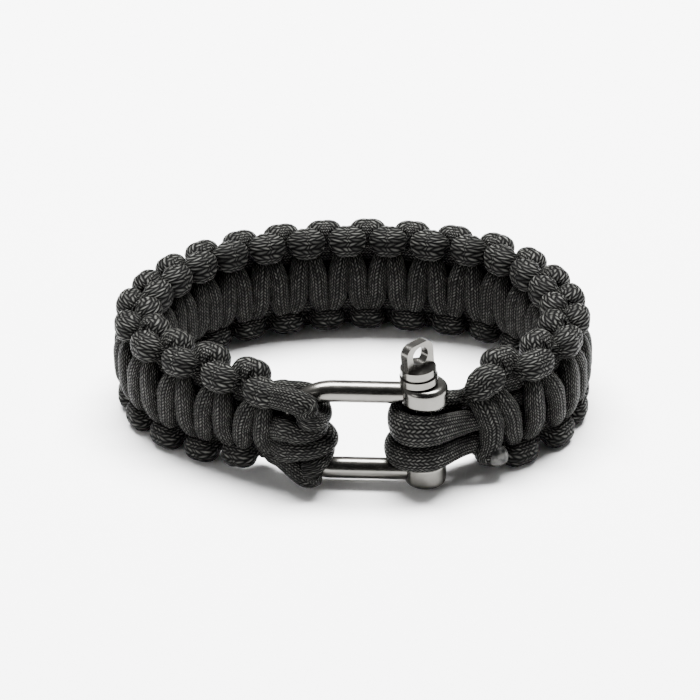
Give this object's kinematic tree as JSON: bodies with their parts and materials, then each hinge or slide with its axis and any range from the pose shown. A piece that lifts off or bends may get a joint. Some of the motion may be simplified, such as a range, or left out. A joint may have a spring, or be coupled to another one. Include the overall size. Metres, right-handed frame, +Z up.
{
  "type": "paracord bracelet",
  "caption": "Black cobra-weave paracord bracelet lying on its side, closed with a polished steel D shackle and its screw pin.",
  "frame": {"origin": "middle of the bracelet's box, on the surface that its woven edge stands on", "axes": "+Z up, across the band's width and roughly along the shackle pin; +X along the loop's long way, from the bow end to the pin end; +Y from the clasp to the back of the loop"},
  "size_m": [0.0894, 0.0694, 0.0295],
  "materials": {
    "cord": "braided nylon cord, black with light grey flecks",
    "steel": "polished stainless steel"
  },
  "bodies": {
    "band_and_shackle": {"woven_band": "cord", "bow_cord_top": "cord", "bow_cord_upper": "cord", "bow_cord_lower": "cord", "bow_cord_bottom": "cord", "pin_cord_upper": "cord", "pin_cord_lower": "cord", "shackle_body": "steel"},
    "screw_pin": {"shackle_pin": "steel"}
  },
  "joints": [
    {"name": "pin_draw", "type": "slide", "parent": "band_and_shackle", "child": "screw_pin", "axis": [-0.0697, 0.003, 0.9976], "range_m": [0, 0.017]}
  ]
}
